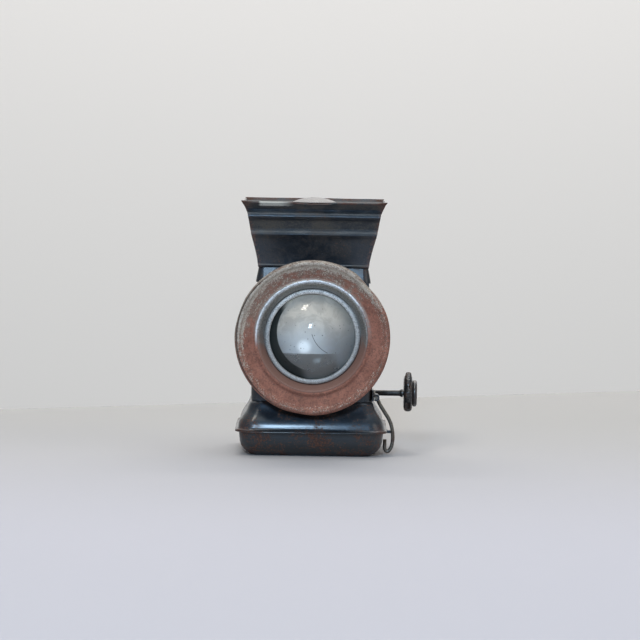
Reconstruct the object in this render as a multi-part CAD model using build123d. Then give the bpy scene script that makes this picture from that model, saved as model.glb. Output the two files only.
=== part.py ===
from build123d import *
import os
from math import cos, radians, sin

# Small square-bodied oil lamp for a bicycle, with a bull's-eye front.
# Millimetres. Origin: centre of the flat underside of the font.
# +Z is up, the bell faces -Y, the winder knob is on +X.

os.makedirs("parts", exist_ok=True)

# ---------------------------------------------------------------- dimensions
SHEET = 0.8          # thickness of the pressed sheet
GAP = 0.05           # gap between pieces that are soldered or seated together

# body
BODY_X = 31.6        # half width
BODY_Y = 30.0        # half depth
BODY_FOOT = 30.8     # height of the foot of the body
BODY_TOP = 99.0      # height of the top edge of the walls
HOOD_FOOT = 106.4    # height of the foot of the hood

# front
LENS_Z = 68.0        # height of the lens axis
LENS_R = 25.4        # two-inch bull's-eye
LENS_CURVE = 32.0    # radius of its front surface
LENS_BACK = -30.0    # y of its flat back
BELL_R = 43.7        # outside radius of the bell
BELL_FRONT = -48.3   # y of the front of the bell
NECK_R = 31.9        # outside radius of the neck behind the bell
MOUTH_R = 28.0       # opening in the front plate
HINGE_X = -34.6      # hinge pin of the front
HINGE_Y = -32.0

# font
FLANGE_X = 43.0      # half width of the seam flange
FLANGE_Y = 41.4      # half depth of the seam flange
SEAM_Z = 14.3        # height of the seam
FONT_TOP = 30.5      # height of the flat top

# winder and burner
STEM_Y = -3.6        # axis of the winder
STEM_Z = 34.0
STEM_R = 1.6         # radius of its stem
KNOB_X = 52.6        # inner face of the knob
BURNER_R = 9.9       # outside radius of the burner drum
WICK_X = 6.2         # half width of the wick
WICK_Y = 1.2         # half thickness of the wick
DRUM_TOP = 38.5      # height of the top of the burner drum
TUBE_TOP = 57.0      # height of the top of the wick tube

# wire clip
CLIP_Y = -17.0       # plane the wire lies in
CLIP_PIVOT = (36.6, 33.0)
WIRE_R = 1.05        # radius of the wire


# ---------------------------------------------------------------- helpers
def block(x0, x1, y0, y1, z0, z1):
    """Box between two opposite corners."""
    centre = ((x0 + x1) / 2, (y0 + y1) / 2, (z0 + z1) / 2)
    return Pos(*centre) * Box(x1 - x0, y1 - y0, z1 - z0)


def rod_x(x0, x1, y, z, r):
    """Round bar along X."""
    return Pos((x0 + x1) / 2, y, z) * Rot(0, 90, 0) * Cylinder(r, x1 - x0)


def rod_y(y0, y1, x, z, r):
    """Round bar along Y."""
    return Pos(x, (y0 + y1) / 2, z) * Rot(90, 0, 0) * Cylinder(r, y1 - y0)


def rod_z(z0, z1, x, y, r):
    """Round bar along Z."""
    return Pos(x, y, (z0 + z1) / 2) * Cylinder(r, z1 - z0)


def plan(hx, hy, r, z):
    """Rounded rectangle at height z."""
    return Pos(0, 0, z) * RectangleRounded(2 * hx, 2 * hy, r)


def slab(hx, hy, r, z0, z1):
    """Upright block with rounded corners."""
    return extrude(plan(hx, hy, r, z0), z1 - z0)


def loft_plans(rows):
    """Smooth body through rounded rectangles, rows of (z, half x, half y, corner radius)."""
    faces = Sketch() + [plan(hx, hy, r, z) for z, hx, hy, r in rows]
    return loft(faces)


def shrink(rows, t):
    """The same rows with each rectangle t smaller all round."""
    return [(z, hx - t, hy - t, max(r - t, 0.6)) for z, hx, hy, r in rows]


def turned(points, z=LENS_Z):
    """Turn a closed outline of (radius, y) about the lens axis."""
    outline = make_face(Polyline(*[(r, y) for r, y in points], close=True))
    return Pos(0, 0, z) * revolve(outline, Axis.Y)


def in_yz(face, half):
    """Extrude an outline drawn in (y, z) both ways along X."""
    return extrude(Plane.YZ * face, half, both=True)


def in_xz(face, half):
    """Extrude an outline drawn in (x, z) both ways along Y."""
    return extrude(Plane.XZ * face, half, both=True)


def save(node, shape):
    solids = shape.solids()
    body = solids[0] if len(solids) == 1 else Compound(children=list(solids))
    body.label = node
    export_step(body, f"parts/{node}.step")


# ---------------------------------------------------------------- body
def winder_slot():
    """Slot in the right wall, open at the foot, for the winder stem."""
    half = 2.3
    top = STEM_Z + 0.4
    cut = block(28, 37, STEM_Y - half, STEM_Y + half, BODY_FOOT - 1, top)
    return cut + rod_x(28, 37, STEM_Y, top, half)


JEWEL_R = 8.0        # radius of the hole for a side glass
SKIRT_X = 34.3       # half width of the skirt
SKIRT_Y = 30.95      # half depth of the skirt


def build_body():
    walls = slab(BODY_X, BODY_Y, 4, BODY_FOOT, BODY_TOP)
    walls -= slab(BODY_X - SHEET, BODY_Y - SHEET, 3.2, BODY_FOOT - 1, BODY_TOP + 1)
    walls -= rod_y(-BODY_Y - 1, -BODY_Y + 2, 0, LENS_Z, MOUTH_R + 0.6)
    walls -= rod_x(-40, 40, 0, LENS_Z, JEWEL_R)
    walls -= winder_slot()
    save("case_shell", walls)

    face = -BODY_Y - GAP
    plate = block(-31.5, 31.5, face - SHEET, face, 37.6, 97.9)
    plate += rod_y(face - SHEET, face + 1.5, 0, LENS_Z, MOUTH_R + 0.5)
    plate -= rod_y(face - 2, face + 2, 0, LENS_Z, MOUTH_R)
    save("front_plate", plate)

    rows = [(BODY_FOOT, SKIRT_X, SKIRT_Y, 5), (40.0, SKIRT_X, SKIRT_Y, 5),
            (43.0, BODY_X + 0.9, SKIRT_Y, 4.4)]
    skirt = loft_plans(rows[:2]) + loft_plans(rows[1:])
    skirt -= slab(SKIRT_X - SHEET, BODY_Y + GAP, 4.3, BODY_FOOT - 1, 39.6)
    skirt -= slab(BODY_X + GAP, BODY_Y + GAP, 4.05, BODY_FOOT, 44)
    skirt -= block(-BODY_X - 0.1, BODY_X + 0.1, -SKIRT_Y - 1, -BODY_Y + 4, 37.5, 44)
    skirt -= winder_slot()
    save("base_skirt", skirt)


def build_shoulder():
    low = [(98.0, 32.5, 30.9, 4.4), (99.2, 32.4, 30.8, 4.4)]
    high = [(99.2, 32.4, 30.8, 4.4), (HOOD_FOOT - 0.1, 31.0, 29.0, 3.0)]
    outer = loft_plans(low) + loft_plans(high)
    hollow = slab(BODY_X + GAP, BODY_Y + GAP, 4, 97, 99.1)
    hollow += loft_plans(shrink([(99.05, 32.4, 30.8, 4.4), (HOOD_FOOT - 0.9, 31.2, 29.2, 3.2)], 0.85))
    hollow += slab(24, 22.4, 3, 98, HOOD_FOOT + 1)
    save("case_shoulder", outer - hollow)


# ---------------------------------------------------------------- hood
# Moulded front of the hood, (y, z) from the foot to the lip.
WALL_CURVE = [(-29.2, HOOD_FOOT), (-29.7, 111.0), (-30.8, 116.0), (-32.6, 122.0), (-33.9, 124.6)]
RIDGE_CURVE = [(-33.9, 124.6), (-34.3, 125.4), (-33.9, 126.4), (-32.9, 127.8), (-32.5, 128.7)]
GROOVE_CURVE = [(-32.5, 128.7), (-33.3, 130.0), (-34.6, 132.4), (-36.2, 134.3)]
ROLL_CURVE = [(-36.2, 134.3), (-36.9, 135.4), (-36.4, 137.0), (-35.3, 138.6), (-34.7, 139.7)]
LIP_CURVE = [(-34.7, 139.7), (-36.4, 141.3), (-38.6, 143.3)]
# Flared side of the hood, (x, z) from the foot to the lip.
FLARE = [(31.2, HOOD_FOOT), (31.9, 111.0), (33.4, 117.5), (35.4, 125.0), (36.7, 132.0),
         (37.6, 137.0), (40.4, 143.3)]


def moulding(inset):
    """Front outline of the hood, moved back by inset."""
    curves = [WALL_CURVE, RIDGE_CURVE, GROOVE_CURVE, ROLL_CURVE, LIP_CURVE]
    return [Spline(*[(y + inset, z) for y, z in points]) for points in curves]


def flare(inset):
    """Right-hand outline of the hood, moved in by inset."""
    points = [(x - inset, z) for x, z in FLARE]
    return [Spline(*points[:6]), Line(points[5], points[6])]


def strip(outline, inset):
    """Closed sheet section between an outline and the same outline moved by inset."""
    outer, inner = outline(0), outline(inset)
    foot = Line(outer[0] @ 0, inner[0] @ 0)
    lip = Line(outer[-1] @ 1, inner[-1] @ 1)
    return make_face(outer + inner + [foot, lip])


def filled(outline, inset):
    """Area between an outline and its mirror image."""
    side = outline(inset)
    other = [curve.mirror(Plane.YZ) for curve in side]
    foot = Line(side[0] @ 0, other[0] @ 0)
    lip = Line(side[-1] @ 1, other[-1] @ 1)
    return make_face(side + other + [foot, lip])


def build_hood():
    full_flare = in_xz(filled(flare, 0), 50)
    front = in_yz(strip(moulding, SHEET), 50) & full_flare
    back = mirror(front, Plane.XZ)
    scallop = Pos(0, -38, 176.2) * Rot(90, 0, 0) * Cylinder(35, 12)
    save("hood_front", front - scallop)
    save("hood_back", back)

    between = in_yz(filled(moulding, SHEET + GAP), 50)
    side = in_xz(strip(flare, SHEET), 50) & between
    for y in (-16, -8, 0, 8, 16):
        side -= Pos(33, y, 113.4) * Rot(0, 90, 0) * extrude(SlotOverall(10, 2.4), 8, both=True)
    save("hood_right", side)
    save("hood_left", mirror(side, Plane.YZ))

    inside = in_xz(filled(flare, SHEET + GAP), 50) & between
    lid = inside & block(-60, 60, -60, 60, 141.3, 142.1)
    lid -= rod_z(140, 144, 0, 0, 8)
    save("hood_lid", lid)

    baffle = inside & block(-60, 60, -16, 16, 119, 119.8)
    save("smoke_baffle", baffle)


CAP_R = 12.4         # radius of the smoke cap
CAP_Z = 142.75       # height of its edge


def build_vent():
    ball = 31.2
    rise = 2.65
    dome = Pos(0, 0, CAP_Z + rise - ball) * Sphere(ball)
    under = Pos(0, 0, CAP_Z + rise - ball) * Sphere(ball - 0.6)
    keep = rod_z(CAP_Z, CAP_Z + 6, 0, 0, CAP_R)
    save("vent_cap", (dome & keep) - under)

    legs = []
    for turn in (30, 150, 270):
        x, y = 9.6 * cos(radians(turn)), 9.6 * sin(radians(turn))
        post = rod_z(142.1 + GAP / 2, 145, x, y, 1.1)
        legs.append(post & (Pos(0, 0, CAP_Z + rise - ball) * Sphere(ball - 0.65)))
    save("vent_cap_legs", Compound(children=legs))


# ---------------------------------------------------------------- inside the body
def bowl(shift):
    """Solid behind the reflector face, the face moved back by shift."""
    curve = Spline((0, 21 + shift), (9, 19.9 + shift), (18, 16.5 + shift), (26, 11.6 + shift))
    sides = Polyline((26, 11.6 + shift), (26, 30), (0, 30), (0, 21 + shift))
    return Pos(0, 0, LENS_Z) * revolve(make_face(curve.edges() + sides.edges()), Axis.Y)


def build_reflector():
    dish = bowl(0) - bowl(0.6)
    save("reflector", dish)
    stays = []
    for side in (-1, 1):
        x0, x1 = sorted((side * 17, side * 23))
        stay = block(x0, x1, 10, BODY_Y - SHEET - GAP, LENS_Z - 0.4, LENS_Z + 0.4) & bowl(0.6 + GAP)
        stay += block(x0, x1, BODY_Y - SHEET - GAP - 0.8, BODY_Y - SHEET - GAP,
                      LENS_Z - 4, LENS_Z + 4)
        stays.append(stay)
    save("reflector_stays", Compound(children=stays))


def build_jewels():
    for turn, name in ((90, "left"), (-90, "right")):
        place = Rot(0, 0, turn) * Pos(0, BODY_X, LENS_Z)
        rim = Polyline((9.8, GAP), (9.8, 0.9), (9.0, 2.2), (7.2, 2.2), (7.2, 1.5), (8.1, 1.5),
                       (8.1, GAP), close=True)
        save(f"jewel_rim_{name}", place * revolve(make_face(rim), Axis.Y))
        sides = Polyline((7.1, 1.45), (JEWEL_R - GAP, 1.45), (JEWEL_R - GAP, -0.75), (0, -0.75),
                         (0, 3.7))
        crown = ThreePointArc((0, 3.7), (3.8, 3.1), (7.1, 1.45))
        glass = make_face(sides.edges() + crown.edges())
        save(f"jewel_{name}", place * revolve(glass, Axis.Y))


# ---------------------------------------------------------------- back bracket
SOCKET_X = 11.0      # half width of the slot for the cycle bracket
SOCKET_D = 6.2       # depth of the slot, leaf spring included
SOCKET_Z = (50.0, 80.0)


def build_bracket():
    z0, z1 = SOCKET_Z
    wall = BODY_Y
    hat = block(-SOCKET_X - 1.2, SOCKET_X + 1.2, wall + GAP, wall + SOCKET_D + 1.2, z0, z1)
    hat = fillet(hat.edges().filter_by(Axis.Z).group_by(Axis.Y)[-1], 1.1)
    hat += block(-20, 20, wall + GAP, wall + 1.1, z0, z1)
    hat -= block(-SOCKET_X, SOCKET_X, wall - 1, wall + SOCKET_D, z0 - 1, z1 + 1)
    for x in (-16, 16):
        for z in (z0 + 6, z1 - 6):
            hat -= rod_y(wall - 1, wall + 3, x, z, 1.3)
    save("rear_bracket", hat)

    leaf = [(wall + 0.05, 77), (wall + 0.05, 74), (wall + 0.95, 64), (wall + 0.1, 54)]
    back = [(y + 0.45, z) for y, z in reversed(leaf)]
    section = make_face(Polyline(*leaf, *back, close=True))
    save("bracket_spring", in_yz(section, 6))

    rivets = []
    for x in (-16, 16):
        for z in (z0 + 6, z1 - 6):
            head = rod_y(wall + 1.15, wall + 2, x, z, 2.2)
            rivets.append(head + rod_y(wall + GAP, wall + 1.2, x, z, 1.25))
    save("bracket_rivets", Compound(children=rivets))


# ---------------------------------------------------------------- hinge and catch
BARREL_R = 1.7       # outside radius of the hinge knuckles
PIN_R = 0.9          # radius of the hinge pin


def build_hinge():
    wall = -BODY_X
    low, high = LENS_Z - 8.5, LENS_Z + 8.5
    leaf = block(wall - 0.85, wall - GAP, -31.2, -19, low, high)
    barrel = rod_z(low, high, HINGE_X, HINGE_Y, BARREL_R)
    link = block(HINGE_X, wall - GAP, HINGE_Y - 0.2, -30.6, low, high)
    fixed = leaf + barrel + link
    fixed -= rod_z(LENS_Z - 4, LENS_Z + 4, HINGE_X, HINGE_Y, 2.4)
    fixed -= block(-40, -30, -40, -29.6, LENS_Z - 4, LENS_Z + 4)
    fixed -= rod_z(low - 9, high + 9, HINGE_X, HINGE_Y, PIN_R + GAP)
    save("door_hinge_knuckles", fixed)

    pin = rod_z(low - 0.9, high + 0.9, HINGE_X, HINGE_Y, PIN_R)
    for z in (low - 0.9, high + 0.9):
        pin += Pos(HINGE_X, HINGE_Y, z) * Sphere(1.35) - block(-40, -30, -40, -28, low - 0.1, high + 0.1)
    save("hinge_pin", pin)

    low, high = LENS_Z - 3.75, LENS_Z + 3.75
    knuckle = rod_z(low, high, HINGE_X, HINGE_Y, BARREL_R)
    flap = block(HINGE_X + 1.0, -31.3, -40, HINGE_Y + 0.6, low, high)
    swing = knuckle + flap - rod_y(-50, -20, 0, LENS_Z, NECK_R + 0.02)
    swing -= rod_z(low - 9, high + 9, HINGE_X, HINGE_Y, PIN_R + 0.07)
    save("door_hinge_leaf", swing)


def build_catch():
    wall = BODY_X
    low, high = LENS_Z - 3.5, LENS_Z + 3.5
    spring = block(wall + GAP, wall + 0.75, -27.5, -14, low, high)
    spring += block(wall + GAP, wall + 4.1, -28.2, -27.5, low, high)
    spring += block(wall + 3.4, wall + 4.1, -37.5, -27.5, low, high)
    spring += rod_z(low, high, wall + 4.1, -37.2, 0.9)
    save("catch_spring", spring)
    rivets = [rod_x(wall + 0.8, wall + 1.7, -18, z, 1.6) for z in (LENS_Z - 2, LENS_Z + 2)]
    save("catch_rivets", Compound(children=rivets))

    tongue = block(31.2, 34.3, -36.2, -33.2, LENS_Z - 2, LENS_Z + 2)
    tongue -= rod_y(-50, -20, 0, LENS_Z, NECK_R + 0.02)
    save("door_tongue", tongue)


# ---------------------------------------------------------------- front
def build_bell():
    neck_in = NECK_R - SHEET
    bell = turned([
        (neck_in, -31.4), (NECK_R, -31.4), (NECK_R, -41.6), (33.6, -43.0), (38.0, -44.5),
        (42.0, -45.3), (42.4, -46.9), (41.0, -46.4), (37.5, -45.3), (33.4, -44.0),
        (32.6, -44.6), (31.6, -44.8), (neck_in, -44.5)])
    bead = Pos(0, BELL_FRONT + 1.9, LENS_Z) * Rot(90, 0, 0) * Torus(BELL_R - 1.9, 1.9)
    save("bezel_dish", bell + bead)


def build_lens():
    cell = turned([
        (NECK_R - SHEET - 0.03, -44.2), (30.0, -43.6), (28.6, -41.2), (27.3, -38.4), (27.2, -35.0),
        (25.9, -35.0), (25.9, -28.9), (23.4, -28.9), (23.4, -28.2), (26.7, -28.2), (26.7, -34.2),
        (28.0, -34.2), (28.0, -38.2), (29.3, -40.8), (30.6, -42.6),
        (NECK_R - SHEET - 0.03, -42.8)])
    save("door_frame", cell)

    edge = LENS_BACK - 3.0
    apex = edge - (LENS_CURVE - (LENS_CURVE ** 2 - LENS_R ** 2) ** 0.5)
    ball = Pos(0, apex + LENS_CURVE, LENS_Z) * Sphere(LENS_CURVE)
    lens = rod_y(apex - 1, LENS_BACK, 0, LENS_Z, LENS_R) & ball
    save("lens", lens)

    packing = turned([(23.8, -29.95), (25.7, -29.95), (25.7, -28.95), (23.8, -28.95)])
    save("lens_packing", packing)

    grip = 24.2
    front = edge - ((LENS_CURVE ** 2 - grip ** 2) ** 0.5 - (LENS_CURVE ** 2 - LENS_R ** 2) ** 0.5)
    ring = turned([
        (grip, front - 0.3), (grip + 0.5, -36.6), (25.5, -37.1), (26.4, -36.7), (26.9, -35.9),
        (26.9, -35.05), (25.85, -35.05), (25.85, -33.5), (25.5, -33.5), (25.45, -34.4)])
    save("lens_ring", ring)


# ---------------------------------------------------------------- font
DOME = [(SEAM_Z + 0.75, 41.4, 39.8, 9), (18.6, 40.8, 39.2, 9), (24.2, 37.0, 35.4, 7),
        (FONT_TOP, 34.4, 32.6, 6)]
PAN = [(0.0, 32.8, 31.2, 6), (2.0, 36.4, 34.8, 8), (6.0, 39.7, 38.1, 9),
       (SEAM_Z - 0.75, 40.7, 39.1, 9)]


def build_font():
    top = FONT_TOP - SHEET
    inner = shrink(DOME[:-1] + [(top, *DOME[-1][1:])], SHEET)
    dome = loft_plans(DOME) - loft_plans(inner)
    dome += slab(FLANGE_X, FLANGE_Y, 8, SEAM_Z + 0.02, SEAM_Z + 0.77)
    dome -= slab(40.1, 38.5, 7.5, SEAM_Z - 1, SEAM_Z + 1)
    dome -= rod_z(FONT_TOP - 5, FONT_TOP + 5, 0, 0, BURNER_R + 0.1)
    save("font_upper", dome)

    floor = [(SHEET, *PAN[0][1:])] + PAN[1:]
    pan = loft_plans(PAN) - loft_plans(shrink(floor, SHEET))
    pan += slab(FLANGE_X, FLANGE_Y, 8, SEAM_Z - 0.77, SEAM_Z - 0.02)
    pan -= slab(39.2, 37.6, 7.5, SEAM_Z - 1, SEAM_Z + 1)
    save("font_lower", pan)

    rim = slab(30.3, 28.6, 3, FONT_TOP + 0.02, FONT_TOP + 3) - slab(29.5, 27.8, 2.2, 27, 36)
    rim -= block(25, 35, STEM_Y - 2.6, STEM_Y + 2.6, FONT_TOP + 0.9, 36)
    save("font_rim", rim)

    lug = block(40.9, 46.2, -14.6, -10, 11.9, SEAM_Z - 0.82)
    lug = fillet(lug.edges().filter_by(Axis.Z).group_by(Axis.X)[-1], 1.2)
    lug -= loft_plans(shrink(PAN, -0.05))
    save("font_lug", lug)

    pad = slab(29, 27, 5, 0.95, 10) - block(-8, 8, -3, 3, 0, 11)
    save("felt_pad", pad)


# ---------------------------------------------------------------- burner, wick and winder
def build_burner():
    drum = rod_z(DRUM_TOP - 13, DRUM_TOP, 0, 0, BURNER_R)
    drum -= rod_z(DRUM_TOP - 14, DRUM_TOP - SHEET, 0, 0, BURNER_R - SHEET)
    flange = rod_z(FONT_TOP + 0.03, FONT_TOP + 1, 0, 0, 15)
    drum += flange - rod_z(FONT_TOP - 1, FONT_TOP + 2, 0, 0, BURNER_R - 0.1)
    drum -= rod_x(0, 12, STEM_Y, STEM_Z, STEM_R + 0.06)
    drum -= block(-WICK_X - 1.1, WICK_X + 1.1, -WICK_Y - 1.1, WICK_Y + 1.1, DRUM_TOP - 2, DRUM_TOP + 2)
    for turn in range(8):
        drum -= Rot(0, 0, 22.5 + 45 * turn) * rod_x(5, 12, 0, STEM_Z + 2.2, 0.9)
    save("burner_base", drum)

    hx, hy = WICK_X + 0.25, WICK_Y + 0.25
    tube = slab(hx + 0.8, hy + 0.8, 1.8, 24.5, TUBE_TOP) - slab(hx, hy, 1.2, 24, TUBE_TOP + 1)
    tube -= block(-5.4, 5.4, -3, 0, STEM_Z - 2.8, STEM_Z + 2.8)
    save("wick_tube", tube)
    sleeve = slab(hx + 1.5, hy + 1.5, 2.4, TUBE_TOP - 7, TUBE_TOP - 0.8)
    sleeve -= slab(hx + 0.85, hy + 0.85, 1.85, TUBE_TOP - 8, TUBE_TOP)
    save("tube_sleeve", sleeve)

    save("wick", slab(WICK_X, WICK_Y, 0.6, 7.5, TUBE_TOP + 6.5))


def feed_wheel(x):
    """Toothed disc that bites the wick."""
    wheel = rod_x(x - 0.4, x + 0.4, STEM_Y, STEM_Z, 1.85)
    for step in range(10):
        turn = radians(36 * step)
        y, z = STEM_Y + 1.85 * cos(turn), STEM_Z + 1.85 * sin(turn)
        wheel += rod_x(x - 0.4, x + 0.4, y, z, 0.25)
    return wheel - rod_x(x - 1, x + 1, STEM_Y, STEM_Z, 1.02)


def build_winder():
    stem = rod_x(BURNER_R - 1.5, KNOB_X - 0.3, STEM_Y, STEM_Z, STEM_R)
    stem += rod_x(-6.2, 9, STEM_Y, STEM_Z, 1.0)
    stem += rod_x(KNOB_X - 1, KNOB_X + 7.2, STEM_Y, STEM_Z, 1.2)
    save("winder_stem", stem)
    wheels = [feed_wheel(x) for x in (-3.6, 0, 3.6)]
    save("feed_wheels", Compound(children=wheels))

    outline = Polyline((1.25, 0), (8.4, 0), (9.6, 0.4), (10.3, 1.3), (10.4, 3.4), (10.0, 4.4),
                       (8.9, 5.0), (1.25, 5.0), close=True)
    knob = revolve(make_face(outline), Axis.Y)
    for turn in range(24):
        knob -= Rot(0, 15 * turn, 0) * (Pos(10.8, 2.4, 0) * Rot(90, 0, 0) * Cylinder(0.75, 7))
    knob_place = Pos(KNOB_X, STEM_Y, STEM_Z) * Rot(0, 0, -90)
    save("winder_knob", knob_place * knob)

    outline = Polyline((1.25, 5.05), (6.6, 5.05), (7.5, 5.5), (7.6, 6.8), (6.9, 7.6), (4.6, 7.6),
                       (4.0, 7.0), (1.25, 7.0), close=True)
    save("knob_boss", knob_place * revolve(make_face(outline), Axis.Y))


# ---------------------------------------------------------------- wire clip
def build_clip():
    px, pz = CLIP_PIVOT
    run = Spline((px, pz), (38.4, 29.6), (41.3, 24.8), (44.3, 20.0), (45.9, 15.8), (46.6, 10.6),
                 (46.4, 6.8), (45.4, 3.4), (43.5, 1.75), (42.2, 3.2), (42.05, 6.0), (42.05, 8.4))
    path = Plane.XZ.offset(-CLIP_Y) * run
    start = Plane(origin=path @ 0, z_dir=path % 0)
    wire = sweep(start * Circle(WIRE_R), path=path)
    wire += Pos(px, CLIP_Y, pz) * Sphere(WIRE_R)
    wire += Pos(*(path @ 1)) * Sphere(WIRE_R)
    wire += rod_y(-26.6, CLIP_Y, px, pz, WIRE_R)
    wire += rod_y(-26.9, -26.1, px, pz, 1.7)
    save("clip_wire", wire)

    foot = SKIRT_X
    bearing = rod_y(-25.7, -18.7, px, pz, 1.95)
    bearing += block(foot + 0.05, foot + 0.85, -30, -18.7, BODY_FOOT + 0.4, 37.6)
    bearing += block(foot + 0.05, px, -25.7, -18.7, pz + 1.2, pz + 1.95)
    bearing -= rod_y(-40, 0, px, pz, WIRE_R + 0.08)
    bearing -= rod_y(-30, -25.7, px, pz, 2.1)
    save("clip_bearing", bearing)
    rivets = [rod_x(foot + 0.9, foot + 1.7, -28, z, 1.1) for z in (32.6, 35.8)]
    save("clip_rivets", Compound(children=rivets))


build_body()
build_shoulder()
build_hood()
build_vent()
build_reflector()
build_jewels()
build_bracket()
build_hinge()
build_catch()
build_bell()
build_lens()
build_font()
build_burner()
build_winder()
build_clip()
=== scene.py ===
import random
from math import cos, pi, radians, sin, sqrt

import bpy
from mathutils import Matrix, Vector


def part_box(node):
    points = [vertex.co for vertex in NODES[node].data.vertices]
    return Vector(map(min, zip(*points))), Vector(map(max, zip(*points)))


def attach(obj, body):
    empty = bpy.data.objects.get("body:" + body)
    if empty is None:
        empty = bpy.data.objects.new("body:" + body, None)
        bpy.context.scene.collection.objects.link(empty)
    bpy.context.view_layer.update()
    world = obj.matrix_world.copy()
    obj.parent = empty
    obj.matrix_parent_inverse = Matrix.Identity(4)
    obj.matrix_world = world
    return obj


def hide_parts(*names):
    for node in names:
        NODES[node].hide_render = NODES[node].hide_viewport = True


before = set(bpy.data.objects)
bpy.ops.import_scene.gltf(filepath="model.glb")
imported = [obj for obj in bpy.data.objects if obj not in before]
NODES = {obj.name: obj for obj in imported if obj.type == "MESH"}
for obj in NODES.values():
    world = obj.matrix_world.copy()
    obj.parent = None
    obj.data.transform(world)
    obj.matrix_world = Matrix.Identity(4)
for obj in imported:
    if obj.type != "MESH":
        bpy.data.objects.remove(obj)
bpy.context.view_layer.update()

MM = 0.001
LENS_Z = 68.0
SCENE = bpy.context.scene


# ------------------------------------------------------------------ camera
def aim(camera, target, azimuth, elevation, distance, roll):
    """Stand the camera off from target and look at it."""
    a, e = radians(azimuth), radians(elevation)
    away = Vector((-sin(a) * cos(e), -cos(a) * cos(e), sin(e)))
    look = (-away).to_track_quat("-Z", "Y").to_matrix().to_4x4()
    camera.matrix_world = (Matrix.Translation(target + away * distance) @ look
                           @ Matrix.Rotation(radians(roll), 4, "Z"))


camera = bpy.data.objects.new("camera", bpy.data.cameras.new("camera"))
SCENE.collection.objects.link(camera)
SCENE.camera = camera
camera.data.sensor_width = 36.0
camera.data.lens = 200.0
camera.data.clip_start = 0.05
aim(camera, Vector((0.0041, -0.040, 0.0777)), 0.0, 3.75, 2.0, 0.9)
SCENE.view_settings.view_transform = "Standard"


# ------------------------------------------------------------------ modelling by hand
def drop_selection():
    if bpy.context.object and bpy.context.object.mode != "OBJECT":
        bpy.ops.object.mode_set(mode="OBJECT")
    bpy.ops.object.select_all(action="DESELECT")


def edit(piece, mode="VERT"):
    """Open a piece for editing with nothing of it selected."""
    drop_selection()
    bpy.context.view_layer.objects.active = piece
    piece.select_set(True)
    bpy.ops.object.mode_set(mode="EDIT")
    bpy.ops.mesh.select_mode(type=mode)
    bpy.ops.mesh.select_all(action="DESELECT")


def pick(piece, test, kind="vertices"):
    """Select the points, edges or faces whose middle passes the test, given in mm."""
    bpy.ops.object.mode_set(mode="OBJECT")
    mesh = piece.data
    for part in getattr(mesh, kind):
        if kind == "vertices":
            middle = part.co
        else:
            points = [mesh.vertices[i].co for i in part.vertices]
            middle = sum(points, Vector()) / len(points)
        part.select = bool(test(*(middle / MM)))
    bpy.ops.object.mode_set(mode="EDIT")


def settle(piece, name, smooth=40.0):
    """Leave edit mode with clean normals, the piece at the origin and smooth shading."""
    bpy.ops.mesh.select_all(action="SELECT")
    bpy.ops.mesh.remove_doubles(threshold=0.03 * MM)
    bpy.ops.mesh.normals_make_consistent(inside=False)
    bpy.ops.object.mode_set(mode="OBJECT")
    bpy.ops.object.transform_apply(location=True, rotation=True, scale=True)
    bpy.ops.object.shade_smooth_by_angle(angle=radians(smooth))
    piece.name = name
    piece.data.name = name
    return piece


def finish_with(piece, kind, **settings):
    """Add a modifier and apply it."""
    drop_selection()
    bpy.context.view_layer.objects.active = piece
    piece.select_set(True)
    bpy.ops.object.modifier_add(type=kind)
    tool = piece.modifiers[-1]
    for key, value in settings.items():
        setattr(tool, key, value)
    bpy.ops.object.modifier_apply(modifier=tool.name)
    return piece


AXES = {"X": (Vector((1, 0, 0)), (0, pi / 2, 0)), "Y": (Vector((0, 1, 0)), (pi / 2, 0, 0)),
        "Z": (Vector((0, 0, 1)), (0, 0, 0))}


def draw_out(stations, unit, centre):
    """Extrude the selected ring from station to station, each (radius, distance along) in mm."""
    radius, along = stations[0]
    for next_radius, next_along in stations[1:]:
        step = unit * (next_along - along) * MM
        bpy.ops.mesh.extrude_edges_move(TRANSFORM_OT_translate={"value": step})
        scale = next_radius / radius
        size = [1.0 if unit[i] else scale for i in range(3)]
        bpy.ops.transform.resize(value=size, center_override=centre + unit * next_along * MM)
        radius, along = next_radius, next_along


def turned(name, stations, axis="Y", centre=(0, 0, LENS_Z), steps=96, smooth=40.0):
    """A turned piece: a ring of points drawn out through its stations."""
    unit, turn = AXES[axis]
    centre = Vector(centre) * MM
    drop_selection()
    bpy.ops.mesh.primitive_circle_add(vertices=steps, radius=stations[0][0] * MM, rotation=turn,
                                      location=centre + unit * stations[0][1] * MM)
    piece = bpy.context.object
    bpy.ops.object.mode_set(mode="EDIT")
    bpy.ops.mesh.select_mode(type="EDGE")
    bpy.ops.mesh.select_all(action="SELECT")
    draw_out(stations, unit, centre)
    return settle(piece, name, smooth)


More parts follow.
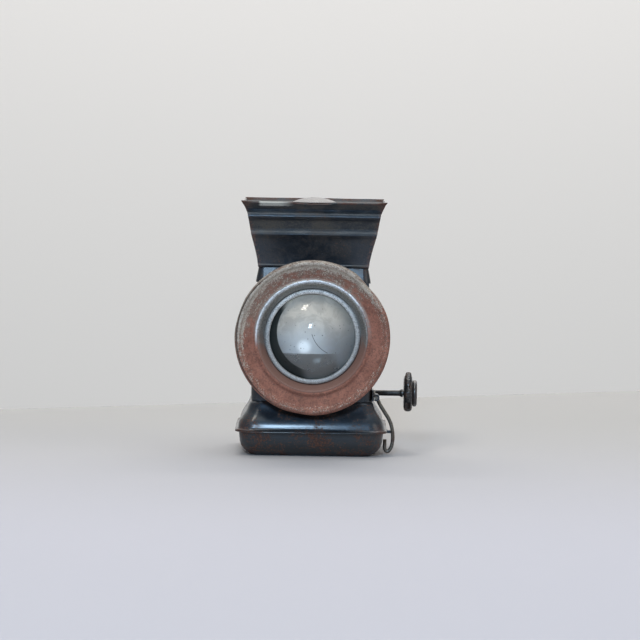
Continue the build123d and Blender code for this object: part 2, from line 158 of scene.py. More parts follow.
def pressed(name, stations, corner, smooth=40.0, segments=7):
    """A pressed tray or dome: a rounded rectangle drawn out through (half x, half y, z) in mm."""
    hx, hy, z = stations[0]
    drop_selection()
    bpy.ops.mesh.primitive_plane_add(size=2.0 * MM, location=(0, 0, z * MM))
    piece = bpy.context.object
    bpy.ops.object.mode_set(mode="EDIT")
    bpy.ops.mesh.select_all(action="SELECT")
    bpy.ops.transform.resize(value=(hx, hy, 1))
    bpy.ops.mesh.bevel(offset=corner * MM, segments=segments, affect="VERTICES")
    bpy.ops.mesh.select_all(action="SELECT")
    bpy.ops.mesh.delete(type="ONLY_FACE")
    bpy.ops.mesh.select_mode(type="EDGE")
    bpy.ops.mesh.select_all(action="SELECT")
    bpy.ops.mesh.subdivide(number_cuts=1)
    for next_hx, next_hy, next_z in stations[1:]:
        step = (0, 0, (next_z - z) * MM)
        bpy.ops.mesh.extrude_edges_move(TRANSFORM_OT_translate={"value": step})
        bpy.ops.transform.resize(value=(next_hx / hx, next_hy / hy, 1),
                                 center_override=(0, 0, next_z * MM))
        hx, hy, z = next_hx, next_hy, next_z
    return settle(piece, name, smooth)


def sheet_panel(name, stations, thickness, turn, cuts=30):
    """A sheet drawn up from its foot through (half width, distance out, z), then thickened."""
    half, out, z = stations[0]
    drop_selection()
    bpy.ops.mesh.primitive_plane_add(size=2.0 * MM, location=(0, -out * MM, z * MM))
    piece = bpy.context.object
    edit(piece)
    pick(piece, lambda x, y, zz: y > 0)
    bpy.ops.mesh.delete(type="VERT")
    bpy.ops.mesh.select_mode(type="EDGE")
    bpy.ops.mesh.select_all(action="SELECT")
    bpy.ops.transform.translate(value=(0, MM, 0))
    bpy.ops.transform.resize(value=(half, 1, 1), center_override=(0, -out * MM, z * MM))
    bpy.ops.mesh.subdivide(number_cuts=cuts)
    bpy.ops.mesh.select_all(action="SELECT")
    for next_half, next_out, next_z in stations[1:]:
        step = (0, -(next_out - out) * MM, (next_z - z) * MM)
        bpy.ops.mesh.extrude_edges_move(TRANSFORM_OT_translate={"value": step})
        bpy.ops.transform.resize(value=(next_half / half, 1, 1),
                                 center_override=(0, -next_out * MM, next_z * MM))
        half, out, z = next_half, next_out, next_z
    settle(piece, name)
    edit(piece)
    bpy.ops.mesh.select_all(action="SELECT")
    bpy.ops.mesh.normals_make_consistent(inside=False)
    bpy.ops.object.mode_set(mode="OBJECT")
    if piece.data.polygons[0].normal.y > 0:
        bpy.ops.object.mode_set(mode="EDIT")
        bpy.ops.mesh.select_all(action="SELECT")
        bpy.ops.mesh.flip_normals()
        bpy.ops.object.mode_set(mode="OBJECT")
    finish_with(piece, "SOLIDIFY", thickness=thickness * MM, offset=-1.0)
    piece.rotation_euler[2] = radians(turn)
    bpy.ops.object.transform_apply(location=True, rotation=True, scale=True)
    bpy.ops.object.shade_smooth_by_angle(angle=radians(32))
    return piece


def nudge(piece, near, move, reach, falloff="SMOOTH", grab=0.6):
    """Push the point nearest to near by move, its surroundings following, all in mm."""
    near = Vector(near)
    closest = min(piece.data.vertices, key=lambda v: (v.co / MM - near).length).co / MM
    edit(piece)
    pick(piece, lambda x, y, z: (Vector((x, y, z)) - closest).length < grab)
    bpy.ops.transform.translate(value=Vector(move) * MM, use_proportional_edit=True,
                                proportional_size=reach * MM, proportional_edit_falloff=falloff)
    bpy.ops.object.mode_set(mode="OBJECT")


def uneven(piece, depth, size, seed=0):
    """Work slight hollows and swells into a sheet, depth and size in mm."""
    cloud = bpy.data.textures.new(piece.name + "_swell", "CLOUDS")
    cloud.noise_scale = size * MM
    cloud.noise_depth = 1 + seed % 2
    finish_with(piece, "DISPLACE", texture=cloud, strength=depth * MM, mid_level=0.5,
                texture_coords="LOCAL")


def bent_wire(name, points, radius):
    """A round wire along points in mm, as a mesh."""
    curve = bpy.data.curves.new(name, "CURVE")
    curve.dimensions = "3D"
    curve.bevel_depth = radius * MM
    curve.bevel_resolution = 5
    curve.resolution_u = 10
    curve.use_fill_caps = True
    run = curve.splines.new("BEZIER")
    run.bezier_points.add(len(points) - 1)
    for handle, point in zip(run.bezier_points, points):
        handle.co = Vector(point) * MM
        handle.handle_left_type = handle.handle_right_type = "AUTO"
    wire = bpy.data.objects.new(name, curve)
    SCENE.collection.objects.link(wire)
    drop_selection()
    bpy.context.view_layer.objects.active = wire
    wire.select_set(True)
    bpy.ops.object.convert(target="MESH")
    wire = bpy.context.object
    bpy.ops.object.shade_smooth_by_angle(angle=radians(50))
    return wire


# ------------------------------------------------------------------ finishes
class Tone:
    """A node socket in a finish. Sums on tones add the nodes that work them out."""

    def __init__(self, finish, socket):
        self.finish = finish
        self.socket = socket

    def __add__(self, other):
        return self.finish.maths("ADD", self, other)

    def __sub__(self, other):
        return self.finish.maths("SUBTRACT", self, other)

    def __rsub__(self, other):
        return self.finish.maths("SUBTRACT", other, self)

    def __mul__(self, other):
        return self.finish.maths("MULTIPLY", self, other)

    def __pow__(self, other):
        return self.finish.maths("POWER", self, other)

    __radd__ = __add__
    __rmul__ = __mul__


class Finish:
    """A finish built from nodes on the piece's own coordinates, in metres."""

    def __init__(self, name, **constants):
        self.material = bpy.data.materials.new(name)
        self.material.use_nodes = True
        self.tree = self.material.node_tree
        self.shader = self.tree.nodes["Principled BSDF"]
        for key, value in constants.items():
            self.shader.inputs[key.replace("_", " ")].default_value = value
        self.place = self.node("ShaderNodeTexCoord", {}, {}, "Object")

    def node(self, kind, settings, sockets, output=0):
        """Any node: its settings first, then the values or links of its sockets."""
        node = self.tree.nodes.new(kind)
        for key, value in settings.items():
            setattr(node, key, value)
        for key, value in sockets.items():
            if isinstance(value, Tone):
                self.tree.links.new(value.socket, node.inputs[key])
            else:
                node.inputs[key].default_value = value
        return Tone(self, node.outputs[output])

    def maths(self, operation, first, second):
        return self.node("ShaderNodeMath", {"operation": operation}, {0: first, 1: second})

    def at(self, centre=(0, 0, 0), turn=(0, 0, 0), stretch=(1, 1, 1)):
        """The coordinates moved to a centre in mm, turned and stretched."""
        moved = self.node("ShaderNodeVectorMath", {"operation": "SUBTRACT"},
                          {0: self.place, 1: Vector(centre) * MM})
        return self.node("ShaderNodeMapping", {},
                         {"Vector": moved, "Rotation": turn, "Scale": stretch})

    def grain(self, size, detail=4.0, rough=0.55, warp=0.0, where=None):
        """Soft noise, 0 to 1, with blotches of the given size in mm."""
        return self.node("ShaderNodeTexNoise", {},
                         {"Vector": where or self.place, "Scale": 1000.0 / size, "Detail": detail,
                          "Roughness": rough, "Distortion": warp})

    def cells(self, size, feature="F1", jitter=1.0, where=None):
        """Distance to scattered points, spacing in mm."""
        return self.node("ShaderNodeTexVoronoi", {"feature": feature},
                         {"Vector": where or self.place, "Scale": 1000.0 / size,
                          "Randomness": jitter})

    def step(self, tone, low, high):
        """0 below low, 1 above high, smooth between."""
        return self.node("ShaderNodeMapRange", {"interpolation_type": "SMOOTHSTEP"},
                         {"Value": tone, "From Min": low, "From Max": high})

    def near(self, centre, inner, outer, stretch=(1, 1, 1)):
        """1 within inner mm of a point, 0 past outer mm."""
        offset = self.at(centre, stretch=stretch)
        away = self.node("ShaderNodeVectorMath", {"operation": "LENGTH"}, {0: offset}, "Value")
        return 1 - self.step(away, inner * MM, outer * MM)

    def axis(self, letter, centre=(0, 0, 0)):
        """One coordinate in mm."""
        split = self.node("ShaderNodeSeparateXYZ", {}, {"Vector": self.at(centre)}, letter)
        return split * 1000.0

    def mix(self, amount, first, second):
        """Blend two colours."""
        node = self.tree.nodes.new("ShaderNodeMix")
        node.data_type = "RGBA"
        for socket, value in ((node.inputs[0], amount), (node.inputs[6], first),
                              (node.inputs[7], second)):
            if isinstance(value, Tone):
                self.tree.links.new(value.socket, socket)
            else:
                socket.default_value = value if isinstance(value, float) else (*value, 1.0)
        return Tone(self, node.outputs[2])

    def set(self, **tones):
        """Feed tones to the shader's sockets."""
        for key, tone in tones.items():
            self.tree.links.new(tone.socket, self.shader.inputs[key.replace("_", " ")])

    def relief(self, height, depth, strength=1.0):
        """Bump from a height tone, depth in mm."""
        bump = self.node("ShaderNodeBump", {}, {"Height": height, "Distance": depth * MM,
                                                "Strength": strength})
        self.tree.links.new(bump.socket, self.shader.inputs["Normal"])


def hypot(finish, first, second):
    """Length of two tones at right angles."""
    return (first * first + second * second) ** 0.5


BLACK = (0.0042, 0.0054, 0.0080)
BLACK_WORN = (0.030, 0.022, 0.016)
RUST = (0.112, 0.052, 0.032)
RUST_DARK = (0.050, 0.021, 0.013)


def japan(name, rust=0.25, bare_edges=(), gloss=0.30, tint=BLACK, hood=False):
    """Old black japan: glossy where it holds, brown and dull where it has worn."""
    # The blue specular tint is a painted blue cast on the japan's reflections, standing in for blue
    # window light.
    f = Finish(name, Coat_Roughness=0.22, IOR=1.5, Specular_Tint=(0.55, 0.77, 1.0, 1.0))
    coat = 0.75
    blotch = f.grain(13, 6, 0.66, 0.4)
    fine = f.grain(1.1, 5, 0.68)
    speck = f.grain(0.42, 3, 0.6)
    worn = f.step(blotch + fine * 0.45, 0.62, 0.86)
    rusty = f.step(blotch * 0.7 + fine * 0.6, 0.84 - 0.32 * rust, 0.96 - 0.32 * rust)
    for centre, inner, outer in bare_edges:
        patch = f.near(centre, inner, outer) * f.step(fine + blotch * 0.5, 0.50, 0.74)
        rusty = rusty + patch - rusty * patch
    chips = f.step(speck, 0.66, 0.72) * f.step(blotch, 0.40, 0.60)
    base = f.mix(worn * 0.8, tint, BLACK_WORN)
    rust_tone = f.mix(f.step(fine, 0.35, 0.7), RUST_DARK, RUST)
    base = f.mix(rusty, base, rust_tone)
    base = f.mix(chips * 0.6, base, (0.15, 0.12, 0.095))
    rough = gloss + worn * 0.18 + rusty * 0.38 + fine * 0.10
    if hood:
        z = f.axis("Z")
        dusty = f.step(z, 127.2, 129.0) * (1 - f.step(z, 132.4, 134.2))
        dusty = dusty + f.step(z, 139.4, 140.4) * 0.8
        base = f.mix(dusty * (0.25 + 0.5 * f.step(fine + blotch, 0.75, 1.15)), base,
                     (0.085, 0.071, 0.055))
        rough = rough + dusty * 0.35
        coat = 0.75 - dusty * 0.7
        x = f.axis("X")
        half = 31.2 + (z - 106.4) * 0.12 + (z - 106.4) * (z - 106.4) * 0.0034
        edge = f.step(f.maths("ABSOLUTE", x, 0.0) - half, -2.6, -0.2)
        edge = edge * f.step(fine + blotch * 0.6, 0.66, 0.92)
        rim = f.step(z + fine * 2.0, 143.2, 144.0) * f.step(blotch, 0.40, 0.56)
        base = f.mix(f.maths("MAXIMUM", edge, rim) * 0.9, base, rust_tone)
        bare = f.step(x + fine * 2, -30.5, -29.0) * (1 - f.step(x + blotch * 6, -17.0, -8.0))
        bare = bare * f.step(z + fine, 141.6, 142.2) * (1 - f.step(f.axis("Y"), -33.0, -32.0))
        base = f.mix(bare * f.step(fine, 0.30, 0.42), base, (0.44, 0.43, 0.38))
    f.set(Base_Color=base, Roughness=rough, Coat_Weight=coat - 0.6 * rusty - 0.2 * worn)
    f.relief(fine * 0.6 + blotch * 1.2 + speck * 0.15 - chips * 0.5, 0.16)
    return f.material


def bell_finish():
    """Nickel plate almost all gone to brown rust, with flecks of plate above and by the bead."""
    f = Finish("bell_rust", IOR=1.5)
    x = f.axis("X")
    z = f.axis("Z", (0, 0, LENS_Z))
    radius = hypot(f, x, z)
    around = f.maths("ARCTAN2", x, z)
    spun = f.node("ShaderNodeCombineXYZ", {}, {"X": radius, "Y": around * 13.0, "Z": f.axis("Y")})
    streak = f.node("ShaderNodeTexNoise", {},
                    {"Vector": spun, "Scale": 0.62, "Detail": 6.0, "Roughness": 0.70})
    blotch = f.grain(15, 5, 0.62, 0.6)
    fine = f.grain(0.95, 6, 0.75)
    speck = f.grain(0.62, 4, 0.66)
    high = f.step(z - x * 0.35, -16.0, 30.0)
    middling = f.grain(3.2, 5, 0.7, 0.6)
    rim = f.step(radius, 36.0, 42.0)
    neck = 1 - f.step(radius, 32.5, 33.7)
    bead = f.step(radius, 39.8, 40.8)
    tan = f.step(blotch * 0.45 + streak * 0.75 + high * 0.36 + rim * 0.10, 0.80, 1.06)
    foot_rim = f.step(radius, 37.6, 39.6) * (1 - f.step(radius, 41.4, 42.4))
    plate = f.step(speck * 0.95 + streak * 0.6 + high * 0.18 + rim * 0.14 + foot_rim * 0.08,
                   1.02, 1.09)
    dark = f.step(f.grain(4, 6, 0.75, 0.8) + fine * 0.4, 0.70, 0.92)
    red = f.mix(f.step(blotch, 0.35, 0.7), (0.225, 0.086, 0.056), (0.315, 0.130, 0.088))
    red = f.mix(f.step(middling, 0.48, 0.66) * 0.5, red, (0.105, 0.043, 0.029))
    red = f.mix(f.step(fine, 0.46, 0.64) * 0.62, red, (0.085, 0.036, 0.025))
    base = f.mix(tan * 0.80, red, (0.185, 0.140, 0.108))
    base = f.mix(dark * 0.50, base, (0.060, 0.036, 0.027))
    base = f.mix(plate * 0.85, base, (0.50, 0.45, 0.38))
    upper = neck * f.step(z + blotch * 14, 4.0, 22.0)
    base = f.mix(upper * f.step(fine + middling * 0.5, 0.50, 0.86), base, (0.33, 0.325, 0.31))
    # Painted highlight: a pale blue-white arc along the moulding crest on its upper side.
    painted_crest_highlight = f.step(radius, 30.9, 31.3) * (1 - f.step(radius, 31.9, 32.6))
    painted_crest_highlight = painted_crest_highlight * f.step(z - x * 0.3, 2.0, 14.0)
    base = f.mix(painted_crest_highlight * f.step(fine + middling, 0.70, 1.0), base, (0.66, 0.69, 0.72))
    # Painted shade: a dark line along the wired bead on the left side only.
    painted_bead_shade = f.step(radius, 42.2, 42.5) * (1 - f.step(radius, 42.8, 43.1)) * f.step(x, -16.0, -34.0)
    base = f.mix(painted_bead_shade * 0.9, base, (0.020, 0.016, 0.014))
    base = f.mix(bead * f.step(fine + speck * 0.4, 0.62, 0.84) * 0.6, base, (0.075, 0.042, 0.030))
    metal = plate * 0.55 + upper * 0.65 * (1 - plate)
    f.set(Base_Color=base, Metallic=metal,
          Roughness=0.70 - plate * 0.22 - upper * 0.40 + fine * 0.10)
    f.relief(fine * 1.0 + speck * 0.5 + streak * 0.7 + blotch * 0.5 - plate * 0.2, 0.20)
    return f.material


def cell_finish():
    """Moulding round the lens: dull grey nickel above, gone to brown rust lower down."""
    f = Finish("cell_plate", IOR=1.5)
    z = f.axis("Z", (0, 0, LENS_Z))
    blotch = f.grain(6, 5, 0.65, 0.5)
    fine = f.grain(0.8, 5, 0.65)
    rusty = f.step(blotch * 0.5 + fine * 0.4 - z * 0.022, 0.34, 0.64)
    base = f.mix(f.step(fine, 0.3, 0.7), (0.15, 0.145, 0.135), (0.38, 0.37, 0.35))
    base = f.mix(rusty * 0.9, base, (0.185, 0.085, 0.060))
    f.set(Base_Color=base, Metallic=0.85 - rusty * 0.7, Roughness=0.34 + rusty * 0.28 + fine * 0.1)
    f.relief(fine * 0.6 + blotch, 0.10)
    return f.material


def ring_finish():
    """Pale dull ring, matt and faintly pitted, with a painted highlight that lightens its top."""
    f = Finish("ring_nickel", IOR=1.5)
    blotch = f.grain(4, 5, 0.65, 0.5)
    fine = f.grain(0.6, 5, 0.68)
    pitted = f.step(fine + blotch * 0.4, 0.66, 0.82)
    base = f.mix(f.step(blotch, 0.3, 0.7), (0.31, 0.315, 0.315), (0.46, 0.465, 0.46))
    # Painted highlight: the ring is painted lighter towards its top.
    above = f.step(f.axis("Z", (0, 0, LENS_Z)), -8.0, 24.0)
    base = f.mix(above * 0.7, base, (0.78, 0.77, 0.74))
    base = f.mix(pitted * 0.8, base, (0.16, 0.150, 0.138))
    f.set(Base_Color=base, Metallic=0.22 - pitted * 0.15, Roughness=0.40 + fine * 0.15)
    f.relief(fine * 0.7 + blotch - pitted * 0.4, 0.10)
    return f.material


def plated(name, colour, rough=0.34, tarnish=0.4, dark=(0.13, 0.105, 0.085)):
    """Dull nickel or tin plate with brown freckles."""
    f = Finish(name, IOR=1.5)
    blotch = f.grain(7, 5, 0.65, 0.5)
    fine = f.grain(0.7, 5, 0.65)
    freckle = f.step(blotch * 0.55 + fine * 0.6, 0.80 - 0.3 * tarnish, 0.98 - 0.3 * tarnish)
    dull = tuple(c * 0.72 for c in colour)
    base = f.mix(f.step(fine, 0.3, 0.75), dull, colour)
    base = f.mix(freckle * 0.8, base, dark)
    f.set(Base_Color=base, Metallic=0.95 - freckle * 0.6,
          Roughness=rough + freckle * 0.3 + fine * 0.12)
    f.relief(fine * 0.5 + blotch - freckle * 0.4, 0.08)
    return f.material


def lens_glass():
    """Thick old glass under a matt hazy layer, cracked and seeded. The layer carries painted light:
    a painted reflection that is lighter and warmer in the upper half and darker to the right, a
    painted bright spot, painted shade over the lower part and a painted dark crescent at the left.
    """
    f = Finish("lens_glass", IOR=1.5, Transmission_Weight=1.0, Roughness=0.02,
               Base_Color=(0.93, 0.95, 0.93, 1.0))
    x = f.axis("X")
    z = f.axis("Z", (0, 0, LENS_Z))
    film = f.grain(8, 6, 0.65, 0.8)
    seeds = f.step(f.cells(2.1), 0.16, 0.11) * f.step(f.grain(5, 2), 0.46, 0.54)
    # Painted shade: the lower part of the glass is painted darker.
    low = 1 - f.step(z, -9.4, -9.0)
    low = low * (1 - f.step(x, 9.0, 17.0)) + 0.7 * (1 - f.step(z, -19.0, -12.0))
    low = f.maths("MINIMUM", low, 1.0)
    # Painted reflection: a bright bluish-white spot below and left of the centre.
    spot_distance = hypot(f, x + 4.6, z + 5.4)
    painted_bright_spot = (1 - f.step(spot_distance, 1.4, 5.4)) * 0.62 + (1 - f.step(spot_distance, 2.5, 19.0)) * 0.38
    painted_bright_spot = painted_bright_spot * f.step(z, -9.4, -9.0)
    # Painted shade: a dark crescent inside the left edge of the glass.
    painted_dark_crescent = f.step(hypot(f, x - 2.0, z - 2.6), 21.7, 22.2) * (1 - f.step(x + z * 0.3, -14.0, -6.0))
    bend = hypot(f, x - 16.0, z - 6.5) - 16.9
    crack = (1 - f.step(f.maths("ABSOLUTE", bend, 0.0), 0.10, 0.26))
    crack = crack * f.step(x, -1.0, -0.4) * (1 - f.step(x, 8.4, 9.0)) * (1 - f.step(z, 1.8, 2.4))
    # Painted reflection: the matt layer is lighter and warmer in the upper half and darker to the
    # right. The film blotches, cracks and seeds are real marks.
    dust_and_reflection_tone = f.mix(f.step(z, -6.0, 14.0), (0.42, 0.47, 0.51), (0.92, 0.85, 0.74))
    dust_and_reflection_tone = f.mix(f.step(x, 4.0, 20.0) * 0.45, dust_and_reflection_tone, (0.22, 0.23, 0.225))
    dust_and_reflection_tone = f.mix(f.step(film, 0.38, 0.62) * 0.5, dust_and_reflection_tone, (0.25, 0.245, 0.225))
    dust_and_reflection_tone = f.mix(low * 0.72, dust_and_reflection_tone, (0.150, 0.142, 0.128))
    dust_and_reflection_tone = f.mix(painted_bright_spot, dust_and_reflection_tone, (0.90, 0.97, 1.0))
    dust_and_reflection_tone = f.mix(painted_dark_crescent, dust_and_reflection_tone, (0.016, 0.022, 0.022))
    dark = f.maths("MAXIMUM", crack, seeds)
    dust_and_reflection_tone = f.mix(dark * 0.9, dust_and_reflection_tone, (0.030, 0.030, 0.032))
    matt_layer_with_painted_light = f.node("ShaderNodeBsdfPrincipled", {}, {"Base Color": dust_and_reflection_tone, "Roughness": 0.55})
    # The painted spot, painted shade and painted crescent also thicken the matt layer.
    amount = 0.52 + f.step(film, 0.3, 0.75) * 0.14 + painted_bright_spot * 0.4 + painted_dark_crescent * 0.3 + dark * 0.4
    amount = f.maths("MINIMUM", amount, 0.93)
    blend = f.node("ShaderNodeMixShader", {}, {0: amount, 1: Tone(f, f.shader.outputs[0]), 2: matt_layer_with_painted_light})
    out = f.tree.nodes["Material Output"]
    f.tree.links.new(blend.socket, out.inputs["Surface"])
    return f.material


def coloured_glass(name, colour):
    f = Finish(name, IOR=1.5, Coat_Weight=0.6)
    film = f.grain(4, 4, 0.6)
    pattern = f.cells(2.2)
    deep = tuple(c * 0.5 for c in colour)
    f.set(Base_Color=f.mix(f.step(film, 0.3, 0.75), deep, colour),
          Roughness=0.08 + film * 0.12, Alpha=0.82 + film * 0.1)
    f.relief(pattern, 0.25)
    f.material.surface_render_method = "BLENDED"
    return f.material


def brass_finish():
    f = Finish("burner_brass", IOR=1.5)
    blotch = f.grain(6, 5, 0.6, 0.5)
    fine = f.grain(0.8, 5, 0.6)
    soot = f.step(f.axis("Z"), 42.0, 58.0) * f.step(blotch + fine * 0.4, 0.45, 0.85)
    base = f.mix(f.step(blotch, 0.4, 0.7), (0.42, 0.27, 0.10), (0.20, 0.12, 0.05))
    base = f.mix(soot * 0.85, base, (0.02, 0.018, 0.016))
    f.set(Base_Color=base, Metallic=0.95 - soot * 0.7,
          Roughness=0.34 + blotch * 0.2 + soot * 0.3)
    f.relief(fine * 0.6 + blotch, 0.07)
    return f.material


def wire_finish():
    f = Finish("clip_steel", IOR=1.5)
    blotch = f.grain(5, 5, 0.6, 0.6)
    fine = f.grain(0.6, 5, 0.65)
    rusty = f.step(blotch + fine * 0.4, 0.68, 0.86)
    base = f.mix(f.step(fine, 0.3, 0.7), (0.085, 0.074, 0.062), (0.20, 0.18, 0.155))
    base = f.mix(rusty * 0.8, base, (0.070, 0.038, 0.024))
    f.set(Base_Color=base, Metallic=0.85 - rusty * 0.6, Roughness=0.38 + rusty * 0.35)
    f.relief(fine + blotch * 0.4, 0.06)
    return f.material


def knob_finish(name="knob_black"):
    """Blackened metal, rubbed to copper brown round its edges."""
    f = Finish(name, IOR=1.5, Coat_Roughness=0.25)
    y = f.axis("Y", (0, -3.6, 0))
    z = f.axis("Z", (0, 0, 34.0))
    radius = hypot(f, y, z)
    blotch = f.grain(4, 5, 0.65, 0.5)
    fine = f.grain(0.7, 5, 0.65)
    rub = f.step(radius, 9.0, 10.6) * f.step(blotch + fine * 0.5, 0.72, 1.05)
    hub = (1 - f.step(radius, 6.8, 7.6)) * f.step(radius, 6.0, 7.0)
    rub = rub + hub * f.step(fine, 0.4, 0.7) * 0.5
    base = f.mix(f.step(blotch, 0.42, 0.7), (0.009, 0.009, 0.010), (0.030, 0.021, 0.018))
    base = f.mix(rub, base, (0.15, 0.072, 0.042))
    f.set(Base_Color=base, Metallic=rub * 0.55 + 0.1, Roughness=0.30 + blotch * 0.22,
          Coat_Weight=0.6 - rub * 0.5)
    f.relief(fine * 0.7 + blotch, 0.12)
    return f.material


def cotton_finish(name, colour, thread=0.7, oily=0.3):
    """Woven cotton or matted felt, stained with oil."""
    f = Finish(name, Sheen_Weight=0.25)
    weave_x = f.node("ShaderNodeTexWave", {"bands_direction": "X"},
                     {"Vector": f.place, "Scale": 160.0 / thread, "Distortion": 1.2, "Detail": 2.0},
                     "Fac")
    weave_z = f.node("ShaderNodeTexWave", {"bands_direction": "Z"},
                     {"Vector": f.place, "Scale": 160.0 / thread, "Distortion": 1.2, "Detail": 2.0},
                     "Fac")
    blotch = f.grain(7, 5, 0.6, 0.5)
    char = f.step(f.axis("Z"), 58.0, 63.0)
    dirty = tuple(c * 0.45 for c in colour)
    base = f.mix(f.step(blotch, 0.3, 0.8) * (0.4 + oily), colour, dirty)
    base = f.mix(char * 0.95, base, (0.012, 0.011, 0.010))
    f.set(Base_Color=base, Roughness=0.9 - blotch * oily * 0.5)
    f.relief(weave_x * weave_z + f.grain(0.5, 3) * 0.5, 0.22)
    return f.material


def dress(node, material):
    """Give a CAD node its finish."""
    slots = NODES[node].data.materials
    slots.clear()
    slots.append(material)


def hand_over(piece, material, body, slot_name, *nodes):
    """Give a new piece its finish and its body, and hide the nodes it stands for. The slot name is
    not used.
    """
    piece.data.materials.clear()
    piece.data.materials.append(material)
    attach(piece, body)
    if nodes:
        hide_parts(*nodes)
    return piece


hood_corners = [((side * 40, front * 38, 142.0), 2.0, 6.5) for side in (-1, 1) for front in (-1, 1)]
body_japan = japan("body_japan", 0.15)
hood_japan = japan("hood_japan", 0.27, hood_corners, hood=True)
hood_side_japan = japan("hood_side_japan", 0.30, hood_corners)
font_corners = [((side * 42, front * 40, 14.3), 1.5, 9.0) for side in (-1, 1) for front in (-1, 1)]
shoulder_japan = japan("shoulder_japan", 0.42, gloss=0.44)
font_japan = japan("font_japan", 0.52, font_corners, gloss=0.36, tint=(0.0065, 0.0095, 0.0135))
pan_japan = japan("pan_japan", 0.60, font_corners, gloss=0.48, tint=(0.012, 0.0112, 0.0108))
bell_rust = bell_finish()
ring_nickel = ring_finish()
cap_nickel = plated("cap_nickel", (0.25, 0.26, 0.275), 0.24, 0.55)
fitting_nickel = plated("fitting_nickel", (0.40, 0.38, 0.34), 0.42, 0.8)
cell_plate = cell_finish()
bright_tin = plated("bright_tin", (0.80, 0.78, 0.72), 0.10, 0.1)
clear_lens = lens_glass()
ruby = coloured_glass("ruby_glass", (0.42, 0.012, 0.010))
green = coloured_glass("green_glass", (0.010, 0.16, 0.055))
brass = brass_finish()
steel_wire = wire_finish()
knob_black = knob_finish()
wick_cotton = cotton_finish("wick_cotton", (0.62, 0.55, 0.42))
oily_felt = cotton_finish("oily_felt", (0.30, 0.23, 0.15), 1.4, 0.5)


# ------------------------------------------------------------------ front
def make_bell():
    """The bell: neck, dish and wired bead in one sheet, with the knocks it has taken."""
    bead = []
    for turn in range(0, 244, 27):
        angle = radians(80 - turn)
        bead.append((41.8 + 1.9 * cos(angle), -46.4 + 1.9 * sin(angle)))
    stations = [(31.9, -31.4), (31.9, -36.0), (31.9, -40.6), (32.2, -41.8), (33.3, -42.8),
                (36.0, -43.8), (39.0, -44.6), (41.2, -44.9)]
    stations += bead
    stations += [(39.5, -46.8), (38.8, -46.35), (37.8, -45.9), (36.4, -45.2), (34.8, -44.5),
                 (33.9, -44.15), (33.3, -44.2), (32.8, -44.6), (32.3, -44.9), (31.8, -45.0),
                 (31.4, -44.9), (31.1, -44.6), (31.1, -41.5), (31.1, -36.0), (31.1, -31.4),
                 (31.9, -31.4)]
    bell = turned("bell", stations, steps=144, smooth=60)
    nudge(bell, (31.5, -47.5, LENS_Z + 29.0), (-0.9, 1.3, -1.1), 13.0)
    nudge(bell, (38.5, -47.5, LENS_Z + 19.0), (-0.5, 0.5, -0.2), 9.0)
    nudge(bell, (-40.0, -47.5, LENS_Z + 13.0), (0.4, 0.6, 0.0), 12.0)
    nudge(bell, (-8.0, -47.5, LENS_Z - 41.5), (0.0, 0.5, 0.35), 11.0)
    hand_over(bell, bell_rust, "door", "bell_metal", "bezel_dish")


def make_lens():
    middle = -13.46
    front = [(max(32 * sin(radians(t)), 0.01), middle - 32 * cos(radians(t)))
             for t in (0, 3, 6, 10, 14, 18, 22, 26, 30, 34, 38, 42, 46, 49.5, 52.5)]
    stations = front + [(25.4, -31.5), (25.4, -30.3), (25.1, -30.0), (18.0, -30.0), (8.0, -30.0),
                        (0.01, -30.0)]
    lens = turned("bulls_eye", stations, steps=128, smooth=30)
    hand_over(lens, clear_lens, "door", "clear_glass", "lens")

    stations = [(24.2, -34.8), (24.2, -36.3), (24.35, -36.8), (24.8, -37.05), (25.5, -37.12),
                (26.2, -37.0), (26.7, -36.75), (26.88, -36.2), (26.9, -35.06), (25.8, -35.06),
                (25.8, -33.6), (25.5, -33.6), (25.45, -34.4), (24.2, -34.8)]
    ring = turned("lens_clamp_ring", stations, steps=128, smooth=60)
    uneven(ring, 0.12, 9)
    hand_over(ring, ring_nickel, "door", "nickel", "lens_ring")

    stations = [(31.06, -44.35), (30.7, -44.45), (30.2, -44.15), (29.6, -43.3), (29.0, -42.1),
                (28.4, -40.8), (27.9, -39.6), (27.5, -38.4), (27.3, -36.8), (27.2, -35.0),
                (25.9, -35.0), (25.9, -28.9), (23.4, -28.9), (23.4, -28.2), (26.7, -28.2),
                (26.7, -34.2), (28.0, -34.2), (28.2, -38.2), (29.3, -40.8), (30.6, -42.6),
                (31.06, -43.0), (31.06, -44.35)]
    cell = turned("lens_cell", stations, steps=128, smooth=50)
    hand_over(cell, cell_plate, "door", "bell_metal", "door_frame")

    packing = turned("packing_ring", [(23.8, -29.9), (24.7, -29.99), (25.6, -29.9), (25.65, -29.4),
                                      (25.5, -29.0), (24.0, -29.0), (23.75, -29.4), (23.8, -29.9)],
                     steps=72)
    hand_over(packing, oily_felt, "door", "felt", "lens_packing")


# ------------------------------------------------------------------ hood
HOOD = [  # z, half depth, half width
    (106.4, 29.2, 31.2), (106.9, 29.9, 31.3), (107.7, 30.05, 31.4), (108.4, 29.5, 31.55),
    (111.5, 29.75, 31.95), (116.0, 30.8, 33.0), (120.0, 31.9, 34.0), (122.3, 32.7, 34.65),
    (123.8, 33.4, 35.1), (124.6, 34.0, 35.3), (125.3, 34.3, 35.45), (126.1, 34.0, 35.6),
    (126.9, 33.4, 35.75), (127.8, 32.85, 35.9), (128.7, 32.5, 36.1), (129.8, 32.9, 36.3),
    (131.0, 33.3, 36.5), (132.2, 33.8, 36.7), (133.2, 34.5, 36.9), (134.0, 35.6, 37.05),
    (134.7, 36.5, 37.2), (135.6, 36.95, 37.35), (136.6, 36.7, 37.5), (137.6, 35.95, 37.7),
    (138.6, 35.1, 38.1), (139.5, 34.7, 38.5), (140.4, 35.3, 38.95), (141.4, 36.4, 39.45),
    (142.4, 37.6, 39.95), (143.25, 38.55, 40.4)]


